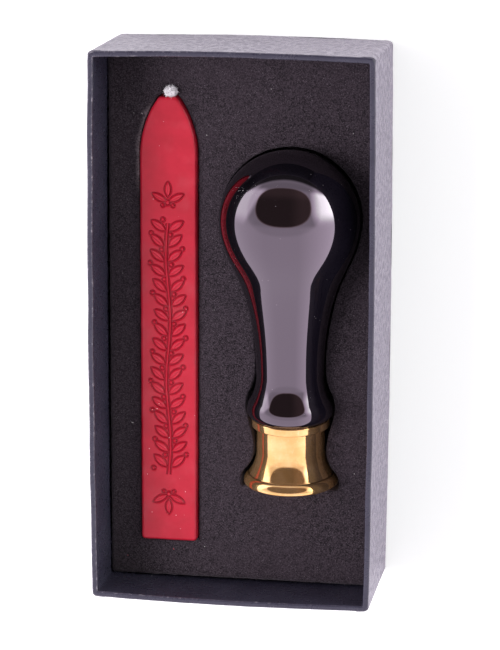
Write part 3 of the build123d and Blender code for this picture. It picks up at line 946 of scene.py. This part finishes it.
def make_handle():
    """The lacquered handle, with its blind hole for the stud."""
    foot = (9.6, HEAD_END)
    hole = [(0, HOLE_IN_HANDLE), (STUD_HOLE, HOLE_IN_HANDLE), (STUD_HOLE, HEAD_END)]
    runs = [
        rounded([*hole, foot], (0.05, 0.1)),
        rounded([foot, JOINT, (10.25, HEAD_END + 0.5)], (0.25,))[1:-1],
        tangent_arc(LIP, JOINT, -1, 40)[::-1][5:],
        tangent_arc(LIP, LIP_END, 1, 24)[1:],
        tangent_arc(NECK, LIP_END, -1, 40)[::-1][1:],
        clamped_spline([NECK, *SWELLS, BULB], 28)[1:],
        arc((0, BULB_STATION), BULB_RADIUS, 0, 90, 110)[1:],
    ]
    profile = np.vstack(runs)
    profile[-1, 0] = 0
    lathe("handle_turned", profile, 320, "seal_handle", "handle_lacquer", LACQUER)


def make_head():
    """The brass head: rounded rim, fine groove, flare, waist and collar, with its blind hole."""
    rim_arc = tangent_arc(RIM, BEAD, 1, 26)
    groove_step = rounded([rim_arc[-1], (FLARE[0], BEAD[1] + 0.05), FLARE], (0.05,), 4)
    flare = tangent_arc(WAIST, FLARE, -1, 60)[::-1]
    root = (8.95, COLLAR[1])
    waist = tangent_arc(WAIST, root, 1, 20)
    edge = (COLLAR[0], HEAD_END)
    hole = [(STUD_HOLE, HEAD_END), (STUD_HOLE, HOLE_IN_HEAD), (0, HOLE_IN_HEAD)]
    back = rounded([waist[-2], root, COLLAR, edge, *hole], (0.6, 0.35, 0.35, 0.1, 0.1))
    front = [(0, 0), (11.9, 0), (DIE_RADIUS - DIE_CHAMFER, 0)]
    profile = np.vstack([front, rim_arc, groove_step[1:], flare[1:], waist[1:-2], back])
    profile = np.vstack([profile[:1], dense(profile[1:-1], 0.35), profile[-1:]])
    r, s = profile[1:-1, 0], profile[1:-1, 1]
    # painted shade for the brass: the fine groove by the bead and the cove under the collar
    groove = np.exp(-(((s - BEAD[1] - 0.1) / 0.14) ** 2)) * (r > 11.1) * (r < 11.55)
    groove = np.maximum(groove, np.exp(-(((s - COLLAR[1]) / 0.12) ** 2)) * (r < 9.5) * (r > 8.8))
    lathe("head_turned", profile, 256, "seal_head", "brass", BRASS, {"groove": groove})


def make_die_face():
    """The engraved face of the die: a plain rosette inside a beaded ring."""
    sides, rings, bead_count, bead_ring = 288, 90, 36, 10.5
    r, a = np.meshgrid(np.linspace(0.02, 11.95, rings), full_turn(sides), indexing="ij")
    petal_end = 2.2 + 5.4 * abs(np.cos(4 * a)) ** 0.7
    petals = share((petal_end - r) / 0.5) * share((r - 1.6) / 0.4)
    heart = share((1.3 - r) / 0.3)
    ring = share(1 - abs(r - 9.3) / 0.35)
    past_bead = (np.mod(a * bead_count / (2 * math.pi), 1) - 0.5) * 2 * math.pi * bead_ring / bead_count
    beads = 2 * np.clip(0.5 - np.hypot(r - bead_ring, past_bead), 0, 0.5)
    depth = 0.7 * petals * (0.65 + 0.35 * np.cos(8 * a)) + 0.6 * heart + 0.4 * ring + 0.5 * np.sqrt(beads)
    depth *= share((11.7 - r) / 0.2)
    verts = seal_point(r, -0.02 + depth * 0.9, a).reshape(-1, 3)
    faces = [f[::-1] for f in grid_faces(rings, sides, close_columns=True)]
    faces += [[k, (k + 1) % sides, len(verts)] for k in range(sides)]
    verts = np.vstack([verts, seal_point(0.0, 0.5, 0.0)])
    # painted shade: the engraving darker the deeper it is cut
    dark = np.concatenate([np.clip(depth, 0, 0.6).ravel(), [0.5]])
    attributes = {"groove": dark, "station": np.zeros(len(verts))}
    build("head_die_face", verts, faces, "seal", slot="brass", material=BRASS, attributes=attributes)


# ---- lint and crumbs
# the place and half length of each: lint and wax crumbs on the foam, flecks on the wax
LINT = (
    (-26.2, 54.8, 0.20), (-28.3, 54.8, 0.13), (-8.9, 49.5, 0.17), (-29.1, -28.8, 0.34), (-9.5, -62.4, 0.17),
    (8.0, 62.0, 0.14), (-31.6, 12.0, 0.12), (29.5, 51.0, 0.13), (30.8, -40.0, 0.14), (-7.0, 3.0, 0.12),
)
CRUMBS = ((-18.0, -63.6, 0.22), (-30.7, -66.0, 0.17), (-10.6, -30.0, 0.12))
FLECKS = ((-21.3, 46.6, 0.15), (-20.2, 53.0, 0.16), (-15.9, -57.3, 0.14))


def make_specks():
    """A little dust on the bulb, lint on the foam and crumbs of wax."""
    source, dust_count = np.random.default_rng(5), 26

    def speck(x, y, z, size):
        turn, count = source.uniform(0, math.pi), 7
        s = np.linspace(-1, 1, count)
        bend = source.uniform(-0.6, 0.6) * s * s
        along, across = s * math.cos(turn) + bend, s * math.sin(turn) - bend
        path = (x, y, z) + size * np.column_stack([along, across, 0.15 * np.cos(3 * s)])
        thick = size * source.uniform(0.3, 0.6) * np.sqrt(np.maximum(0.06, 1 - s * s))
        return tube(path, thick * source.uniform(0.7, 1.3, count), 7)

    dust, center = [], seal_point(0.0, BULB_STATION, 0.0)
    for _ in range(dust_count):
        toward = source.normal(size=3) * (0.12, 0.06, 0.10) + (-0.56, 0.52, 0.66)
        spot = center + (BULB_RADIUS + 0.01) * toward / np.linalg.norm(toward)
        dust.append(speck(*spot, source.uniform(0.05, 0.10)))
    on_foam, on_wax = FOAM_Z + 0.1, WAX_FACE + 0.02
    pale = [speck(x, y, on_foam, size) for x, y, size in LINT]
    red = [speck(x, y, on_foam, size) for x, y, size in CRUMBS]
    flecks = [speck(x, y, on_wax, size) for x, y, size in FLECKS]
    for name, specks, body, color in (
        ("lint_pale", pale, "insert", (0.62, 0.60, 0.58)),
        ("bulb_dust", dust, "seal", (0.55, 0.53, 0.54)),
        ("wax_crumbs", red, "insert", (0.5, 0.04, 0.06)),
        ("wax_flecks", flecks, "wax", (0.70, 0.40, 0.42)),
    ):
        build(name, *joined(specks), body, material=lint(name, color))


make_wrap()
pockets = [seal_pocket_loop(), stick_loop(WAX_GAP + WAX_LEAN, POCKET_CORNER, notch=True)]
foam_slab("foam_top_sheet", "pocket_foam", pockets, SHELF_Z, FOAM_Z, FOAM, spacing=0.9, seed=100)
foam_slab("foam_bottom_sheet", "shelf_foam", [], LINING_Z, SHELF_Z, FOAM_LOWER, spacing=1.6, seed=200)
make_wax()
make_wick()
make_handle()
make_head()
make_die_face()
make_specks()


# ---- floor, light and camera
def make_floor():
    """White paper that glows: evenly to the camera, and more at the right to what mirrors it."""
    s = Surface("floor_white", Roughness=0.6)
    rays = s.node("LightPath").outputs
    seen, mirrored = rays["Is Camera Ray"], rays["Is Glossy Ray"]
    pale = s.between(s.noise(60, 2), (0.88, 0.88, 0.88), (0.90, 0.90, 0.90))
    s.set(Base_Color=s.mix(seen, pale, (1.0, 1.0, 1.0)))
    across = s.node("SeparateXYZ", {0: s.place()}).outputs[0]
    mirrored = s.times(mirrored, s.span(across, -60, 90, 0.50, 0.86))
    s.set(Emission_Color=s.mix(seen, (1.0, 0.87, 1.05), (0.97, 1.0, 0.95)))
    s.set(Emission_Strength=s.plus(s.times(seen, 0.45), mirrored))
    size = 3000.0 * MM
    mesh = bpy.data.meshes.new("floor")
    corners = [(x * size, y * size, 0) for x, y in ((-1, -1), (1, -1), (1, 1), (-1, 1))]
    mesh.from_pydata(corners, [], [(0, 1, 2, 3)])
    mesh.materials.append(s.material)
    floor = bpy.data.objects.new("floor", mesh)
    bpy.context.collection.objects.link(floor)


def make_light():
    """A white tent with a dark oval opening overhead, and a bright panel low on each side."""
    world = bpy.data.worlds.new("tent")
    bpy.context.scene.world = world
    world.use_nodes = True
    sky = Nodes(world.node_tree)
    calc, plus, times, ramp = sky.math, sky.plus, sky.times, sky.span

    def minus(a, b):
        return calc("SUBTRACT", a, b)

    def size(value):
        return calc("ABSOLUTE", value)

    def slope(value, low, high, to_low=0.0, to_high=1.0):
        return ramp(value, low, high, to_low, to_high, "LINEAR")

    def blend(factor, a, b):
        return plus(times(minus(1.0, factor), a), times(factor, b))

    # a direction's place on a flat map of the sky: 0 overhead, 1 at the horizon
    x, y, z = sky.node("SeparateXYZ", {0: sky.node("TexCoord").outputs["Generated"]}).outputs
    drop = plus(1.0, calc("MAXIMUM", z, -0.9))
    u, v = calc("DIVIDE", x, drop), calc("DIVIDE", y, drop)

    # the side panels, the wall beyond them and the part before them
    right = plus(slope(u, 0.40, 0.58, 1.4, 6.2), slope(u, 0.58, 0.88, 0.0, 2.4))
    right = calc("MAXIMUM", times(right, ramp(v, -0.04, 0.24, 0.42, 1.0)), 1.25)
    left = ramp(plus(u, times(minus(0.2, v), 0.5)), -0.50, -0.64, 1.2, 3.3)
    side = blend(ramp(u, -0.05, 0.05), left, right)
    beyond = plus(0.92, ramp(size(plus(u, 0.02)), 0.45, 0.60, 0.0, 0.9))
    before = plus(plus(1.52, times(slope(u, 0.2, 0.95), 1.2)), slope(u, -0.3, -0.95, 0.0, 0.35))
    outer = ramp(size(u), 0.40, 0.60)
    before_edge = blend(outer, ramp(v, -0.06, 0.02, 1.0, 0.0), ramp(v, -0.10, 0.17, 1.0, 0.0))
    strength = blend(ramp(v, 0.52, 0.64), side, beyond)
    strength = blend(before_edge, strength, before)

    # the opening: a squarish oval, a little lighter inside at its right and far side
    center_u, center_v, half_u, half_v, power = -0.035, 0.30, 0.447, 0.312, 2.5
    across = calc("POWER", calc("DIVIDE", size(minus(u, center_u)), half_u), power)
    along = calc("POWER", calc("DIVIDE", size(minus(v, center_v)), half_v), power)
    oval = plus(across, along)
    opening = ramp(oval, 1.12, 0.88)
    strength = times(strength, ramp(oval, 2.0, 2.8, 0.85, 1.0))
    dark = plus(plus(0.085, times(ramp(u, 0.05, 0.30), 0.09)), ramp(v, 0.36, 0.52, 0.0, 0.09))
    strength = blend(opening, strength, dark)

    # dark past the tent's far edge; matt surfaces get one even level
    far_edge, even_level = plus(v, times(times(u, u), 0.42)), 0.50
    strength = times(strength, ramp(far_edge, 0.77, 0.85, 1.0, 0.05))
    diffuse = sky.node("LightPath").outputs["Is Diffuse Ray"]
    strength = blend(diffuse, strength, even_level)
    tint = sky.mix(times(opening, minus(1.0, diffuse)), (1.0, 0.93, 1.03), (1.0, 0.66, 0.62))
    color = sky.mix(ramp(strength, 2.2, 4.5), tint, (1.0, 1.07, 1.01))
    background = sky.tree.nodes["Background"].inputs
    sky.put(background["Strength"], strength)
    sky.put(background["Color"], color)


def make_lamp():
    """A large soft lamp high on the left, which gives the tray its main light."""
    elevation, distance, diameter, watts = math.radians(47), 1.0, 0.56, 8.6
    data = bpy.data.lights.new("lamp", "AREA")
    data.shape = "DISK"
    data.size = diameter
    data.energy = watts
    data.color = (1.0, 0.95, 1.02)
    lamp = bpy.data.objects.new("lamp", data)
    place = distance * Vector((-math.cos(elevation), 0.0, math.sin(elevation)))
    lamp.location = place
    lamp.rotation_euler = place.to_track_quat("Z", "Y").to_euler()
    lamp.visible_glossy = False
    bpy.context.collection.objects.link(lamp)


def make_camera():
    """Placed by fitting the tray's corners and edges in the photo."""
    place = Vector((121.387, 158.895, 716.738)) * MM
    turns = ((-0.0034, "Z"), (0.2223, "X"), (-0.16902, "Y"))
    focal_pixels, image_height, sensor = 2744.948, 650, 36.0
    turn = Matrix.Identity(3)
    for angle, axis in turns:
        turn = turn @ Matrix.Rotation(angle, 3, axis)
    data = bpy.data.cameras.new("camera")
    data.sensor_width = sensor
    data.sensor_fit = "AUTO"
    data.lens = focal_pixels * sensor / image_height
    data.clip_start, data.clip_end = 0.05, 20
    camera = bpy.data.objects.new("camera", data)
    camera.matrix_world = Matrix.Translation(place) @ turn.transposed().to_4x4()
    bpy.context.collection.objects.link(camera)
    bpy.context.scene.camera = camera


make_floor()
make_light()
make_lamp()
make_camera()
bpy.context.scene.view_settings.view_transform = "Standard"
